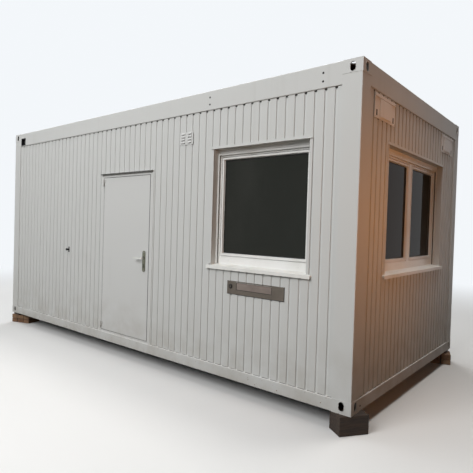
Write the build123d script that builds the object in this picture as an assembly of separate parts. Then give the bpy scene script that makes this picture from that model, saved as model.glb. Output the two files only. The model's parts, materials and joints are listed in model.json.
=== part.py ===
from build123d import *
import math
import os

os.makedirs("parts", exist_ok=True)

# Portable site cabin, in millimetres, +Z up.
# The origin lies on the ground under the middle of the steel frame. The long face with the
# door and the single window looks along -Y, and the end with the wide window looks along +X.

# Steel frame
cabin_length = 6055
cabin_width = 2990
frame_height = 2925
support_height = 165
steel = 4
bend_radius = 8
casting_length = 178
casting_width = 162
casting_height = 112
casting_plate = 10
casting_slot_width = 51
casting_slot_height = 80
casting_slot_drop = 62
lifting_slot_width = 63.5
lifting_slot_length = 124
bottom_rail_height = 112
bottom_rail_lip = 60
rail_bearing = 30
top_rail_height = 200
top_rail_lip = 55
gutter_side = 142
post_return = 40
rail_hole_radius = 7
rail_hole_pitch = 72
rail_hole_low = 60
rail_hole_insets = [359, 1674]

# Walls, floor and roof
panel_recess = 10
panel_thickness = 100
groove_pitch = 99
groove_width = 27
groove_depth = 9
groove_slope = 5
groove_first = 85
lining_thickness = 10
board_gap = 1
crossmember_height = 80
crossmember_width = 60
crossmember_count = 9
crossmember_inset = 12
underside_thickness = 2
deck_thickness = 22
roof_sheet_drop = 52
roof_sheet_thickness = 2
roof_rib_height = 22
roof_rib_width = 40
roof_rib_pitch = 250
roof_rib_slope = 12
ceiling_thickness = 10

# Door, hung on its left edge, opening outward
door_left = 2475
door_right = 3515
door_head_height = 2160
door_jamb_face = 55
door_gap = 5
door_head_face = 50
threshold_rise = 2
leaf_thickness = 45
leaf_setback = 4
stop_width = 18
drip_projection = 22
drip_thickness = 14
drip_edge = 5
drip_overhang = 10
hinge_radius = 11
hinge_pin_radius = 5
hinge_half_height = 38
hinge_leaf_width = 33
hinge_leaf_plate = 4
hinge_cap = 6
hinge_inset = 60
hinge_play = 0.4
pin_clearance = 0.1
pin_end_gap = 1
handle_height = 1082
handle_backset = 80
handle_plate_width = 50
handle_plate_height = 250
handle_plate_thickness = 8
lever_rise = 37
lever_length = 140
lever_height = 18
lever_thickness = 10
lever_bend = 16
lever_standoff = 44
spindle_radius = 6
spindle_clearance = 1
cylinder_drop = 92
cylinder_radius = 8.5
cylinder_nose = 6

# Windows
sill_height = 1104
window_head = 2320
front_window_inset = 470
front_window_width = 1137
end_window_width = 1722
trim_width = 27
trim_thickness = 2
head_lip = 10
head_lip_thickness = 3
reveal_depth = 65
window_frame_depth = 60
glass_margin = 74
glass_low = 1250
glass_high = 2210
glass_gap_between = 144
glass_thickness = 24
glass_setback = 22
bead_slope = 8
sash_face = 26
sash_gap = 8
sash_gap_depth = 14
drain_cap_width = 30
drain_cap_height = 12
drain_cap_thickness = 4
drain_cap_inset = 150
drain_cap_level = 1175
casing_height = 40
shutter_bar_height = 20
shutter_bar_thickness = 12
guide_width = 24
guide_depth = 26
guide_wall = 5
guide_slot = 14
sill_projection = 22
sill_lip = 32
sill_sheet = 4
sill_front_rise = 16
sill_fall = 18
sill_overhang = 50

# Fittings
vent_groove = 38
vent_width = 206
vent_drop = 190
vent_height = 135
vent_thickness = 3
louvre_rows = 4
louvre_pitch = 31
louvre_first = 20
louvre_width = 56
louvre_height = 18
louvre_rise = 8
louvre_lip = 3
louvre_gap = 9
louvre_sheet = 1.5
cover_inset = 268
cover_width = 466
cover_height = 207
cover_drop = 20
cover_thickness = 5
cover_relief = 6
cover_band = 27
cover_line = 4
cover_strip = 22
cover_flap_inset = 106
cover_slot_width = 18
cover_slot_height = 45
cover_slot_inset = 36
plate_offset = 238
plate_width = 680
plate_drop = 118
plate_height = 128
plate_thickness = 5
flap_left = 116
flap_width = 428
flap_height = 78
flap_low = 42
flap_thickness = 2
flap_gap = 5
flap_barrel_radius = 2.4
flap_pin_radius = 1.6
flap_pin_length = 12
flap_pin_clearance = 0.1
letter_slot_margin = 14
lock_radius = 17
lock_inset = 45
lock_level = 73
lock_rise = 6
inlet_left = 212
inlet_width = 122
inlet_height = 100
inlet_drop = 84
inlet_depth = 55
inlet_wall = 3
inlet_lip = 8
inlet_rim = 3
inlet_socket_radius = 32
inlet_socket_height = 24
inlet_clearance = 0.5
stop_distance = 832
stop_height = 1133
stop_plate_width = 22
stop_plate_height = 76
stop_plate_thickness = 4
stop_reach = 45
stop_radius = 12

# Supports under the four corners
brick_length = 240
brick_width = 115
brick_height = 62
brick_joint = 8
bricks_abreast = 3
stack_turn = 18
stack_corner = (5, -8)
packer_inset = 20
corner_block_length = 270
corner_block_width = 180
corner_block_turn = 55
corner_block_inset = (62, 102)


# Places worked out from the sizes above
half_length = cabin_length / 2
half_width = cabin_width / 2
wall_bottom = bottom_rail_height
wall_top = frame_height - top_rail_height
wall_inner = panel_recess + panel_thickness
room_wall = wall_inner + lining_thickness
floor_flange = room_wall + rail_bearing
floor_level = bottom_rail_height + deck_thickness
roof_sheet_level = frame_height - roof_sheet_drop
window_plane = panel_recess + reveal_depth + guide_depth
front_window_right = cabin_length - front_window_inset
front_window_left = front_window_right - front_window_width
end_window_left = (cabin_width - end_window_width) / 2
end_window_right = end_window_left + end_window_width
vent_middle = casting_length + groove_first + vent_groove * groove_pitch + groove_width / 2
vent_low = wall_top - vent_drop - vent_height
plate_left = front_window_left + plate_offset
plate_low = sill_height - plate_drop - plate_height
stop_place = door_left + door_jamb_face + door_gap / 2 - stop_distance
sides = ["front", "right", "back", "left"]


def outward_frame(side):
    """Local axes of a wall: X along it to the right as seen from outside, Y inward, Z up."""
    places = {
        "front": ((-half_length, -half_width), 0),
        "right": ((half_length, -half_width), 90),
        "back": ((half_length, half_width), 180),
        "left": ((-half_length, half_width), 270),
    }
    corner, turn = places[side]
    return Location((corner[0], corner[1], support_height), (0, 0, turn))


def run_of(side):
    """Length of a side of the cabin, and the corner post's width and depth on that side."""
    if side in ("front", "back"):
        return cabin_length, casting_length, casting_width
    return cabin_width, casting_width, casting_length


def across(points, x, z, reach):
    """A section drawn as (along, height) from a point, pushed across the cabin by its reach each way."""
    profile = Plane((x, reach, z), x_dir=(1, 0, 0), z_dir=(0, -1, 0))
    return profile * extrude(outline(points), amount=2 * reach)


def slab(x0, x1, y0, y1, z0, z1):
    return Pos((x0 + x1) / 2, (y0 + y1) / 2, (z0 + z1) / 2) * Box(x1 - x0, y1 - y0, z1 - z0)


def outline(points):
    return make_face(Polyline(points, close=True))


def folded(points, bends):
    """Section of folded steel sheet, from its outer line and its bends' radii, with the metal to the left."""
    return make_face(offset(FilletPolyline(*points, radius=bends), amount=steel, side=Side.LEFT))


def bar_along(section, start, end):
    """A section drawn as (depth, height), pushed along the wall."""
    return Plane((start, 0, 0), x_dir=(0, 1, 0), z_dir=(1, 0, 0)) * extrude(section, amount=end - start)


def column(section, low, high):
    """A section drawn as (along, depth), pushed upward."""
    return Pos(0, 0, low) * extrude(section, amount=high - low)


def rod_through(x, z, radius, y0, y1):
    """A round rod along the wall's depth."""
    return Pos(x, (y0 + y1) / 2, z) * Rot(90, 0, 0) * Cylinder(radius, abs(y1 - y0))


def rod_along(y, z, radius, x0, x1):
    """A round rod along the wall."""
    return Pos((x0 + x1) / 2, y, z) * Rot(0, 90, 0) * Cylinder(radius, x1 - x0)


def slot_through(x, z, width, height, y0, y1):
    """An upright slot with round ends, cut along the wall's depth."""
    section = Rot(90, 0, 0) * SlotOverall(height, width, rotation=90)
    return Pos(x, y1, z) * extrude(section, amount=y1 - y0, dir=(0, -1, 0))


def at_corners(shape):
    """The same piece at all four corners, from the one at the front left."""
    pair = [shape, mirror(shape, about=Plane.YZ)]
    return pair + [mirror(piece, about=Plane.XZ) for piece in pair]


def save(name, *shapes):
    solids = [solid for shape in shapes for solid in shape.solids()]
    whole = solids[0] if len(solids) == 1 else Compound(children=solids)
    export_step(whole, "parts/" + name + ".step")


def corner_casting(low):
    """Hollow corner box with a slot in each outer face; an upper one has a lifting slot in its top too."""
    high = low + casting_height
    box = slab(0, casting_length, 0, casting_width, low, high)
    box -= slab(
        casting_plate, casting_length - casting_plate,
        casting_plate, casting_width - casting_plate,
        low + casting_plate, high - casting_plate,
    )
    is_top = low > 0
    slot_level = high - casting_slot_drop if is_top else low + casting_slot_drop
    box -= slot_through(
        casting_length / 2, slot_level, casting_slot_width, casting_slot_height,
        -1, casting_plate + 1,
    )
    end_slot = slot_through(
        0, slot_level, casting_slot_width, casting_slot_height, -1, casting_plate + 1
    )
    box -= Pos(0, casting_width / 2, 0) * Rot(0, 0, -90) * end_slot
    if is_top:
        lifting = SlotOverall(lifting_slot_length, lifting_slot_width)
        box -= Pos(casting_length / 2, casting_width / 2, high - casting_plate - 1) * extrude(
            lifting, amount=casting_plate + 2
        )
    return outward_frame("front") * box


def corner_post():
    """Cold-formed corner section: its outer corner is rounded, and its hidden returns are folded sharp."""
    section = folded([
        (post_return, casting_width), (0, casting_width), (0, 0),
        (casting_length, 0), (casting_length, post_return),
    ], [0, bend_radius, 0])
    return outward_frame("front") * column(section, casting_height, frame_height - casting_height)


def bottom_rail(side):
    """Channel open to the inside: its top flange carries the wall and the floor's edge."""
    length, post, _ = run_of(side)
    section = folded([
        (floor_flange, bottom_rail_height), (0, bottom_rail_height), (0, 0), (bottom_rail_lip, 0),
    ], [bend_radius, bend_radius])
    return outward_frame(side) * bar_along(section, post, length - post)


def top_rail(side):
    """Deep channel over the wall: a lip above, and a gutter that the roof sheet drains into."""
    length, post, depth = run_of(side)
    section = folded([
        (top_rail_lip, frame_height), (0, frame_height), (0, wall_top),
        (depth, wall_top), (depth, wall_top + gutter_side),
    ], [bend_radius, bend_radius, 0])
    rail = bar_along(section, post, length - post)
    if side == "front":
        for inset in rail_hole_insets:
            for rise in (rail_hole_low, rail_hole_low + rail_hole_pitch):
                rail -= rod_through(
                    length - inset, wall_top + rise, rail_hole_radius, -1, steel + 1
                )
        rail -= inlet_room()
    return outward_frame(side) * rail


def ribbed_wall(side):
    """A whole wall panel from post to post, grooved upright on its outer face."""
    length, post, _ = run_of(side)
    face = panel_recess
    points = [(post, face)]
    left = post + groove_first
    while left + groove_width < length - post:
        right = left + groove_width
        points += [
            (left, face),
            (left + groove_slope, face + groove_depth),
            (right - groove_slope, face + groove_depth),
            (right, face),
        ]
        left += groove_pitch
    points += [(length - post, face), (length - post, wall_inner), (post, wall_inner)]
    return column(outline(points), wall_bottom, wall_top)


def wall_piece(wall, side, x0, x1, z0, z1):
    return outward_frame(side) * (wall & slab(x0, x1, 0, wall_inner + 1, z0, z1))


def build_frame():
    castings = []
    for low in (0, frame_height - casting_height):
        castings += at_corners(corner_casting(low))
    save("corner_castings", *castings)
    save("corner_posts", *at_corners(corner_post()))
    save("bottom_rails", *[bottom_rail(side) for side in sides])
    save("top_rails", *[top_rail(side) for side in sides])


def build_walls():
    front = ribbed_wall("front")
    front_end = cabin_length - casting_length
    pieces = {
        "front_wall_left": (casting_length, door_left, wall_bottom, wall_top),
        "front_wall_over_door": (door_left, door_right, door_head_height, wall_top),
        "front_wall_middle": (door_right, front_window_left, wall_bottom, wall_top),
        "front_wall_under_window": (front_window_left, front_window_right, wall_bottom, sill_height),
        "front_wall_over_window": (front_window_left, front_window_right, window_head, wall_top),
        "front_wall_right": (front_window_right, front_end, wall_bottom, wall_top),
    }
    front -= letter_slot()
    for name, (x0, x1, z0, z1) in pieces.items():
        save(name, wall_piece(front, "front", x0, x1, z0, z1))

    end = ribbed_wall("right")
    end_end = cabin_width - casting_width
    pieces = {
        "end_wall_front": (casting_width, end_window_left, wall_bottom, wall_top),
        "end_wall_back": (end_window_right, end_end, wall_bottom, wall_top),
        "end_wall_under_window": (end_window_left, end_window_right, wall_bottom, sill_height),
        "end_wall_over_window": (end_window_left, end_window_right, window_head, wall_top),
    }
    for name, (x0, x1, z0, z1) in pieces.items():
        save(name, wall_piece(end, "right", x0, x1, z0, z1))

    save("back_wall", outward_frame("back") * ribbed_wall("back"))
    save("left_end_wall", outward_frame("left") * ribbed_wall("left"))


def build_linings():
    """Inner boards on all four walls, cut out for the door and both windows."""
    y0, y1 = wall_inner, room_wall
    low, high = wall_bottom, wall_top
    long_board = slab(wall_inner, cabin_length - wall_inner, y0, y1, low, high)
    front_board = long_board - slab(
        door_left, door_right, y0 - 1, y1 + 1, low - 1, door_head_height
    )
    front_board -= slab(
        front_window_left, front_window_right, y0 - 1, y1 + 1, sill_height, window_head
    )
    front_board -= letter_slot()
    start = room_wall + board_gap
    short_board = slab(start, cabin_width - start, y0, y1, low, high)
    end_board = short_board - slab(
        end_window_left, end_window_right, y0 - 1, y1 + 1, sill_height, window_head
    )
    boards = {"front": front_board, "right": end_board, "back": long_board, "left": short_board}
    save("wall_linings", *[outward_frame(side) * board for side, board in boards.items()])


def build_floor():
    x, y = half_length - room_wall, half_width - room_wall
    level = support_height + bottom_rail_height
    save("floor_deck", slab(-x, x, -y, y, level, level + deck_thickness))

    # Crossmembers: folded channels between the long rails, packed up level with the rails
    t, w, h = steel, crossmember_width, crossmember_height
    reach = half_width - bend_radius
    ledge = half_width - floor_flange
    end = half_length - casting_length - crossmember_inset
    spacing = (2 * end - w) / (crossmember_count - 1)
    top = level - t
    section = [(0, 0), (w, 0), (w, t), (t, t), (t, h - t), (w, h - t), (w, h), (0, h)]
    members = []
    for index in range(crossmember_count):
        place = -end + spacing * index
        channel = across(section, place, top - h, reach)
        members.append(channel + slab(place, place + w, -ledge, ledge, top, level))
    save("floor_crossmembers", *members)
    low = top - h
    save(
        "floor_underside_sheet",
        slab(-end, end, -reach, reach, low - underside_thickness, low),
    )


def build_roof():
    x, y = half_length - room_wall, half_width - room_wall
    level = support_height + wall_top
    save("ceiling_lining", slab(-x, x, -y, y, level - ceiling_thickness, level))
    x, y = half_length - casting_length, half_width - casting_width
    low = support_height + roof_sheet_level
    save("roof_insulation", slab(-x, x, -y, y, level, low))

    # Roof sheet: trapezoid ribs that drain to the gutters of the long rails
    t, r, w, s = roof_sheet_thickness, roof_rib_height, roof_rib_width, roof_rib_slope
    upper = [(-x, t)]
    lower = [(-x, 0)]
    count = math.floor(2 * x / roof_rib_pitch)
    first = -(count - 1) / 2 * roof_rib_pitch - w / 2 - s
    for index in range(count):
        a = first + index * roof_rib_pitch
        b = a + w + 2 * s
        upper += [(a, t), (a + s, r), (b - s, r), (b, t)]
        lower += [(a + t, 0), (a + s + t, r - t), (b - s - t, r - t), (b - t, 0)]
    upper.append((x, t))
    lower.append((x, 0))
    save("roof_sheet", across(upper + lower[::-1], 0, low, y))


def door_bounds():
    """The clear opening inside the jambs, and the leaf's four edges in it."""
    left = door_left + door_jamb_face
    right = door_right - door_jamb_face
    low = floor_level + threshold_rise
    high = door_head_height - door_head_face
    return (left, right, low, high), (left + door_gap, right - door_gap, low + door_gap, high - door_gap)


def build_door_frame():
    front = outward_frame("front")
    face = panel_recess - leaf_setback
    back = room_wall
    (left, right, low, high), _ = door_bounds()
    stop_face = face + leaf_thickness + door_gap

    def jamb(outer, inner, inward):
        """Folded jamb: a box section with a stop behind the leaf."""
        x0, x1 = min(outer, inner), max(outer, inner)
        bar = slab(x0, x1, face, back, wall_bottom, door_head_height)
        lip = inner + inward * stop_width
        return bar + slab(min(inner, lip), max(inner, lip), stop_face, back, low, high)

    save("door_jambs", front * jamb(door_left, left, 1), front * jamb(door_right, right, -1))

    head = slab(left, right, face, back, high, door_head_height)
    head += slab(left + stop_width, right - stop_width, stop_face, back, high - stop_width, high)
    drip = outline([
        (face, door_head_height - drip_thickness),
        (face - drip_projection, door_head_height - drip_thickness),
        (face - drip_projection, door_head_height - drip_thickness + drip_edge),
        (face, door_head_height),
    ])
    head += bar_along(drip, door_left + drip_overhang, door_right - drip_overhang)
    save("door_head", front * head)
    save("door_threshold", front * slab(left, right, face, back, wall_bottom, low))


def hinge(axis_x, axis_y, face, centre):
    """Lift-off hinge: the lower half and its pin stay on the jamb, the upper half swings."""
    low = centre - hinge_half_height
    high = centre + hinge_half_height
    pin_top = high - hinge_cap
    fixed = slab(axis_x - hinge_leaf_width, axis_x, face - hinge_leaf_plate, face, low, centre)
    fixed += slab(axis_x - hinge_radius, axis_x, axis_y, face, low, centre)
    fixed += Pos(axis_x, axis_y, (low + centre) / 2) * Cylinder(hinge_radius, centre - low)
    fixed += Pos(axis_x, axis_y, (low + pin_top) / 2) * Cylinder(hinge_pin_radius, pin_top - low)

    base = centre + hinge_play
    bore_top = pin_top + pin_end_gap
    moving = slab(
        axis_x + hinge_play, axis_x + hinge_leaf_width, face - hinge_leaf_plate, face, base, high
    )
    moving += slab(axis_x, axis_x + hinge_radius, axis_y, face, base, high)
    moving += Pos(axis_x, axis_y, (base + high) / 2) * Cylinder(hinge_radius, high - base)
    moving -= Pos(axis_x, axis_y, (low + bore_top) / 2) * Cylinder(
        hinge_pin_radius + pin_clearance, bore_top - low
    )
    return fixed, moving


def handle_plate(x, spindle_level, near, outward):
    """Long round-ended plate on one face of the leaf, with the lock cylinder's nose in it."""
    far = near + outward * handle_plate_thickness
    nose = far + outward * cylinder_nose
    y0, y1 = min(near, far), max(near, far)
    plate = slot_through(x, handle_height, handle_plate_width, handle_plate_height, y0, y1)
    plate -= rod_through(x, spindle_level, spindle_radius + spindle_clearance, y0 - 1, y1 + 1)
    return plate + rod_through(
        x, spindle_level - cylinder_drop, cylinder_radius, min(near, nose), max(near, nose)
    )


def lever(x, level, near, outward):
    """Flat bar that leaves the spindle and bends along the door."""
    root = near + outward * lever_thickness / 2
    grip = near + outward * lever_standoff
    path = FilletPolyline((x, root), (x, grip), (x - lever_length, grip), radius=lever_bend)
    section = make_face(offset(path, amount=lever_thickness / 2, side=Side.BOTH))
    return Pos(0, 0, level - lever_height / 2) * extrude(section, amount=lever_height)


def build_door():
    front = outward_frame("front")
    face = panel_recess - leaf_setback
    back = face + leaf_thickness
    (left, _, _, _), (leaf_left, leaf_right, leaf_low, leaf_high) = door_bounds()
    handle_x = leaf_right - handle_backset
    spindle_level = handle_height + lever_rise
    leaf = slab(leaf_left, leaf_right, face, back, leaf_low, leaf_high)
    leaf -= rod_through(
        handle_x, spindle_level, spindle_radius + spindle_clearance, face - 1, back + 1
    )
    save("door_leaf", front * leaf)

    axis_x = left + door_gap / 2
    axis_y = face - hinge_radius - hinge_leaf_plate / 2
    halves = [
        hinge(axis_x, axis_y, face, centre)
        for centre in (leaf_low + hinge_inset, leaf_high - hinge_inset)
    ]
    save("hinge_fixed_halves", *[front * fixed for fixed, _ in halves])
    save("hinge_leaf_halves", *[front * moving for _, moving in halves])

    save(
        "handle_plates",
        front * handle_plate(handle_x, spindle_level, face, -1),
        front * handle_plate(handle_x, spindle_level, back, 1),
    )
    outer_end = face - handle_plate_thickness - spindle_clearance
    inner_end = back + handle_plate_thickness + spindle_clearance
    handle = rod_through(
        handle_x, spindle_level, spindle_radius,
        outer_end - lever_thickness / 2, inner_end + lever_thickness / 2,
    )
    handle += lever(handle_x, spindle_level, outer_end, -1)
    handle += lever(handle_x, spindle_level, inner_end, 1)
    save("lever_handle", front * handle)
    print("door axis", axis_x - half_length, axis_y - half_width)
    print("lever axis", handle_x - half_length, spindle_level + support_height)


def pane_spans(left, width, panes):
    """Left and right edge of each glass pane in a window opening."""
    clear = width - 2 * glass_margin - (panes - 1) * glass_gap_between
    pane = clear / panes
    return [
        (left + glass_margin + index * (pane + glass_gap_between),
         left + glass_margin + index * (pane + glass_gap_between) + pane)
        for index in range(panes)
    ]


def ring(x0, x1, z0, z1, width, y0, y1):
    """A rectangular ring round an area of the wall, cut from y0 to y1 in depth."""
    outer = slab(x0 - width, x1 + width, y0, y1, z0 - width, z1 + width)
    return outer - slab(x0, x1, y0 - 1, y1 + 1, z0, z1)


def window_frame(left, width, panes):
    """Plastic frame and sashes: a shadow gap round each sash, and beads that slope to the glass."""
    y0 = window_plane
    y1 = y0 + window_frame_depth
    glass_face = y0 + glass_setback
    frame = slab(left, left + width, y0, y1, sill_height, window_head - casing_height)
    glasses = []
    for x0, x1 in pane_spans(left, width, panes):
        frame -= slab(x0, x1, y0 - 1, y1 + 1, glass_low, glass_high)
        wide = Rectangle(x1 - x0 + 2 * bead_slope, glass_high - glass_low + 2 * bead_slope)
        narrow = Rectangle(x1 - x0, glass_high - glass_low)
        place = Pos((x0 + x1) / 2, y0, (glass_low + glass_high) / 2) * Rot(90, 0, 0)
        frame -= loft([place * wide, Pos(0, glass_setback, 0) * place * narrow])
        frame -= ring(
            x0 - sash_face, x1 + sash_face, glass_low - sash_face, glass_high + sash_face,
            sash_gap, y0 - 1, y0 + sash_gap_depth,
        )
        glasses.append(slab(x0, x1, glass_face, glass_face + glass_thickness, glass_low, glass_high))
    for x in (left + drain_cap_inset, left + width - drain_cap_inset):
        frame += slab(
            x - drain_cap_width / 2, x + drain_cap_width / 2, y0 - drain_cap_thickness, y0,
            drain_cap_level - drain_cap_height / 2, drain_cap_level + drain_cap_height / 2,
        )
    return frame, glasses


def shutter_box(left, width):
    """Roller shutter casing under the head, the shutter's end bar, and two grooved side guides."""
    right = left + width
    y0 = panel_recess + reveal_depth
    casing_low = window_head - casing_height
    box = slab(left, right, y0, window_plane + window_frame_depth, casing_low, window_head)
    slot_middle = y0 + guide_wall + guide_slot / 2
    box += slab(
        left + guide_width, right - guide_width,
        slot_middle - shutter_bar_thickness / 2, slot_middle + shutter_bar_thickness / 2,
        casing_low - shutter_bar_height, casing_low,
    )
    guide_low = sill_height + sill_front_rise + sill_fall
    for edge, inward in ((left, 1), (right, -1)):
        inner = edge + inward * guide_width
        wall = edge + inward * guide_wall
        box += slab(min(edge, inner), max(edge, inner), y0, window_plane, guide_low, casing_low)
        box -= slab(
            min(wall, inner + inward), max(wall, inner + inward),
            y0 + guide_wall, y0 + guide_wall + guide_slot, guide_low - 1, casing_low,
        )
    return box


def window_sill(left, width):
    """Folded sill that slopes to the front, with a turned-down lip and an ear at each end."""
    front = panel_recess - sill_projection
    back = window_plane
    top = sill_height + sill_front_rise
    rise = sill_fall * sill_projection / (back - front)
    body = outline([
        (front, top - sill_lip), (front, top), (back, top + sill_fall), (back, sill_height),
        (front + sill_sheet, sill_height), (front + sill_sheet, top - sill_lip),
    ])
    ears = outline([
        (front, top - sill_lip), (front, top), (panel_recess, top + rise),
        (panel_recess, sill_height), (front + sill_sheet, sill_height),
        (front + sill_sheet, top - sill_lip),
    ])
    return bar_along(body, left, left + width) + bar_along(
        ears, left - sill_overhang, left + width + sill_overhang
    )


def window_surround(left, width):
    """Folded collar: a flange on the wall, a lining in the reveal and a drip lip under its head."""
    right = left + width
    t = trim_thickness
    face = panel_recess
    back = face + reveal_depth
    low = sill_height
    top = window_head
    collar = slab(left - trim_width, right + trim_width, face - t, face, low, top + trim_width)
    collar += slab(left, right, face - t, back, low, top)
    collar -= slab(left + t, right - t, face - t - 1, back + 1, low - 1, top - t)
    collar += slab(
        left - trim_width, right + trim_width, face - t - head_lip, face - t,
        top - head_lip_thickness, top,
    )
    return collar - slab(
        left - trim_width - 1, right + trim_width + 1, face - t - 1, back + 1,
        low - 1, low + sill_front_rise + sill_fall + 1,
    )


def build_windows():
    front, right = outward_frame("front"), outward_frame("right")
    front_opening = (front_window_left, front_window_width)
    end_opening = (end_window_left, end_window_width)
    front_frame, front_glass = window_frame(*front_opening, 1)
    end_frame, end_glass = window_frame(*end_opening, 2)
    save("front_window_frame", front * front_frame)
    save("end_window_frame", right * end_frame)
    save("window_glass", *[front * pane for pane in front_glass], *[right * pane for pane in end_glass])
    save("shutter_boxes", front * shutter_box(*front_opening), right * shutter_box(*end_opening))
    save("window_surrounds", front * window_surround(*front_opening), right * window_surround(*end_opening))
    save("window_sills", front * window_sill(*front_opening), right * window_sill(*end_opening))


def letter_slot():
    """The passage through the front wall behind the letter flap."""
    x0 = plate_left + flap_left + letter_slot_margin
    x1 = plate_left + flap_left + flap_width - letter_slot_margin
    z0 = plate_low + flap_low + letter_slot_margin
    z1 = plate_low + flap_low + flap_height - letter_slot_margin
    return slab(x0, x1, 0, room_wall + 1, z0, z1)


def build_letter_plate():
    """Long plate with a round lock and a flap that hangs from pins in its upper edge."""
    front = outward_frame("front")
    face = panel_recess
    outer = face - plate_thickness
    right = plate_left + plate_width
    plate = slab(plate_left, right, outer, face, plate_low, plate_low + plate_height)
    x0 = plate_left + flap_left
    x1 = x0 + flap_width
    z0 = plate_low + flap_low
    z1 = z0 + flap_height
    axis_y = outer + plate_thickness / 2
    axis_z = z1 - flap_gap - flap_barrel_radius
    plate -= slab(x0, x1, outer - 1, face + 1, z0, z1)
    plate += rod_through(
        plate_left + lock_inset, plate_low + lock_level, lock_radius, outer - lock_rise, face
    )
    flap = slab(
        x0 + flap_gap, x1 - flap_gap, axis_y - flap_thickness / 2, axis_y + flap_thickness / 2,
        z0 + flap_gap, axis_z,
    )
    pin_reach = flap_pin_length - flap_gap
    flap += rod_along(axis_y, axis_z, flap_barrel_radius, x0 + flap_gap, x1 - flap_gap)
    flap += rod_along(axis_y, axis_z, flap_pin_radius, x0 - pin_reach, x1 + pin_reach)
    plate -= rod_along(
        axis_y, axis_z, flap_pin_radius + flap_pin_clearance,
        x0 - pin_reach - pin_end_gap, x1 + pin_reach + pin_end_gap,
    )
    save("letter_plate", front * plate)
    save("letter_flap", front * flap)
    print("flap axis", axis_y - half_width, axis_z + support_height)


def inlet_bounds():
    """Where the power inlet's box passes through the front top rail."""
    high = frame_height - inlet_drop
    return inlet_left, inlet_left + inlet_width, high - inlet_height, high


def inlet_room():
    x0, x1, z0, z1 = inlet_bounds()
    c = inlet_clearance
    return slab(x0 - c, x1 + c, -1, inlet_depth + c, z0 - c, z1 + c)


def louvre_hood(plate, base):
    """Sections of a pressed louvre and of the room inside it, open below its lip."""
    t = louvre_sheet
    front = plate - louvre_rise
    slope = (louvre_height - louvre_lip) / louvre_rise
    drop = t * math.hypot(1, slope)
    hood = outline([
        (plate, base), (front, base), (front, base + louvre_lip), (plate, base + louvre_height),
    ])
    room = outline([
        (panel_recess + 1, base - louvre_gap), (plate, base - louvre_gap), (plate, base - 1),
        (front + t, base - 1), (front + t, base + louvre_lip + t * slope - drop),
        (plate, base + louvre_height - drop), (panel_recess + 1, base + louvre_height - drop),
    ])
    return hood, room


def vent_grille():
    """Thin plate with two columns of louvres, each column on a flat between two grooves."""
    plate = panel_recess - vent_thickness
    grille = slab(
        vent_middle - vent_width / 2, vent_middle + vent_width / 2, plate, panel_recess,
        vent_low, vent_low + vent_height,
    )
    for column in (-1, 1):
        left = vent_middle + (column * groove_pitch - louvre_width) / 2
        right = left + louvre_width
        for row in range(louvre_rows):
            base = vent_low + louvre_first + row * louvre_pitch
            hood, room = louvre_hood(plate, base)
            grille += bar_along(hood, left, right)
            grille -= bar_along(room, left + louvre_sheet, right - louvre_sheet)
    return grille


def vent_cover(left):
    """Thin plate over a wall vent, with a band and a flap that stand out and a slot at each side."""
    face = panel_recess
    plate = face - cover_thickness
    front = plate - cover_relief
    right = left + cover_width
    high = wall_top - cover_drop
    low = high - cover_height
    band_low = high - cover_band
    flap_low = low + cover_strip
    cover = slab(left, right, plate, face, low, high)
    cover += slab(left, right, front, plate, band_low, high)
    cover += slab(
        left + cover_flap_inset, right - cover_flap_inset, front, plate,
        flap_low, band_low - cover_line,
    )
    for slot_left in (left + cover_slot_inset, right - cover_slot_inset - cover_slot_width):
        cover -= slab(
            slot_left, slot_left + cover_slot_width, plate - 1, face + 1,
            flap_low, flap_low + cover_slot_height,
        )
    return cover


def power_inlet():
    """Recessed inlet box in the top rail, with a round socket body at its back."""
    x0, x1, z0, z1 = inlet_bounds()
    lip, wall = inlet_lip, inlet_wall
    back = inlet_depth - wall
    inlet = slab(x0 - lip, x1 + lip, -inlet_rim, 0, z0 - lip, z1 + lip)
    inlet += slab(x0, x1, -inlet_rim, inlet_depth, z0, z1)
    inlet -= slab(x0 + wall, x1 - wall, -inlet_rim - 1, back, z0 + wall, z1 - wall)
    return inlet + rod_through(
        (x0 + x1) / 2, (z0 + z1) / 2, inlet_socket_radius, back - inlet_socket_height, inlet_depth
    )


def door_stop():
    """Plate with a round buffer that the opened door comes to rest beside."""
    face = panel_recess
    stop = slab(
        stop_place - stop_plate_width / 2, stop_place + stop_plate_width / 2,
        face - stop_plate_thickness, face,
        stop_height - stop_plate_height / 2, stop_height + stop_plate_height / 2,
    )
    return stop + rod_through(stop_place, stop_height, stop_radius, face - stop_reach, face)


def build_fittings():
    front, right = outward_frame("front"), outward_frame("right")
    save("vent_grille", front * vent_grille())
    lefts = (cover_inset, cabin_width - cover_inset - cover_width)
    save("vent_covers", *[right * vent_cover(left) for left in lefts])
    save("power_inlet", front * power_inlet())
    save("door_stop", front * door_stop())


def build_supports():
    """Turned brick stacks with timber packers; the corner between door and wide window has a block."""
    stack_height = 2 * brick_height + brick_joint
    stack_length = bricks_abreast * (brick_width + brick_joint) - brick_joint
    x0, y0 = stack_corner
    stack = Pos(x0 - half_length, y0 - half_width, 0) * Rot(0, 0, stack_turn) * slab(
        0, stack_length, 0, brick_length, 0, stack_height
    )
    packer = slab(
        -half_length + packer_inset, -half_length + casting_length,
        -half_width + packer_inset, -half_width + casting_width,
        stack_height, support_height,
    )
    block = Pos(
        half_length - corner_block_inset[0], -half_width + corner_block_inset[1], support_height / 2
    ) * Rot(0, 0, corner_block_turn) * Box(corner_block_length, corner_block_width, support_height)
    front_left, front_right, back_left, back_right = at_corners(stack)
    save("brick_stacks", front_left, back_left, back_right)
    front_left, front_right, back_left, back_right = at_corners(packer)
    save("timber_packers", front_left, back_left, back_right, block)


build_frame()
build_walls()
build_linings()
build_floor()
build_roof()
build_door_frame()
build_door()
build_windows()
build_letter_plate()
build_fittings()
build_supports()
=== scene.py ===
import json
import math
import bmesh
import bpy
from mathutils import Matrix, Vector


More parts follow.
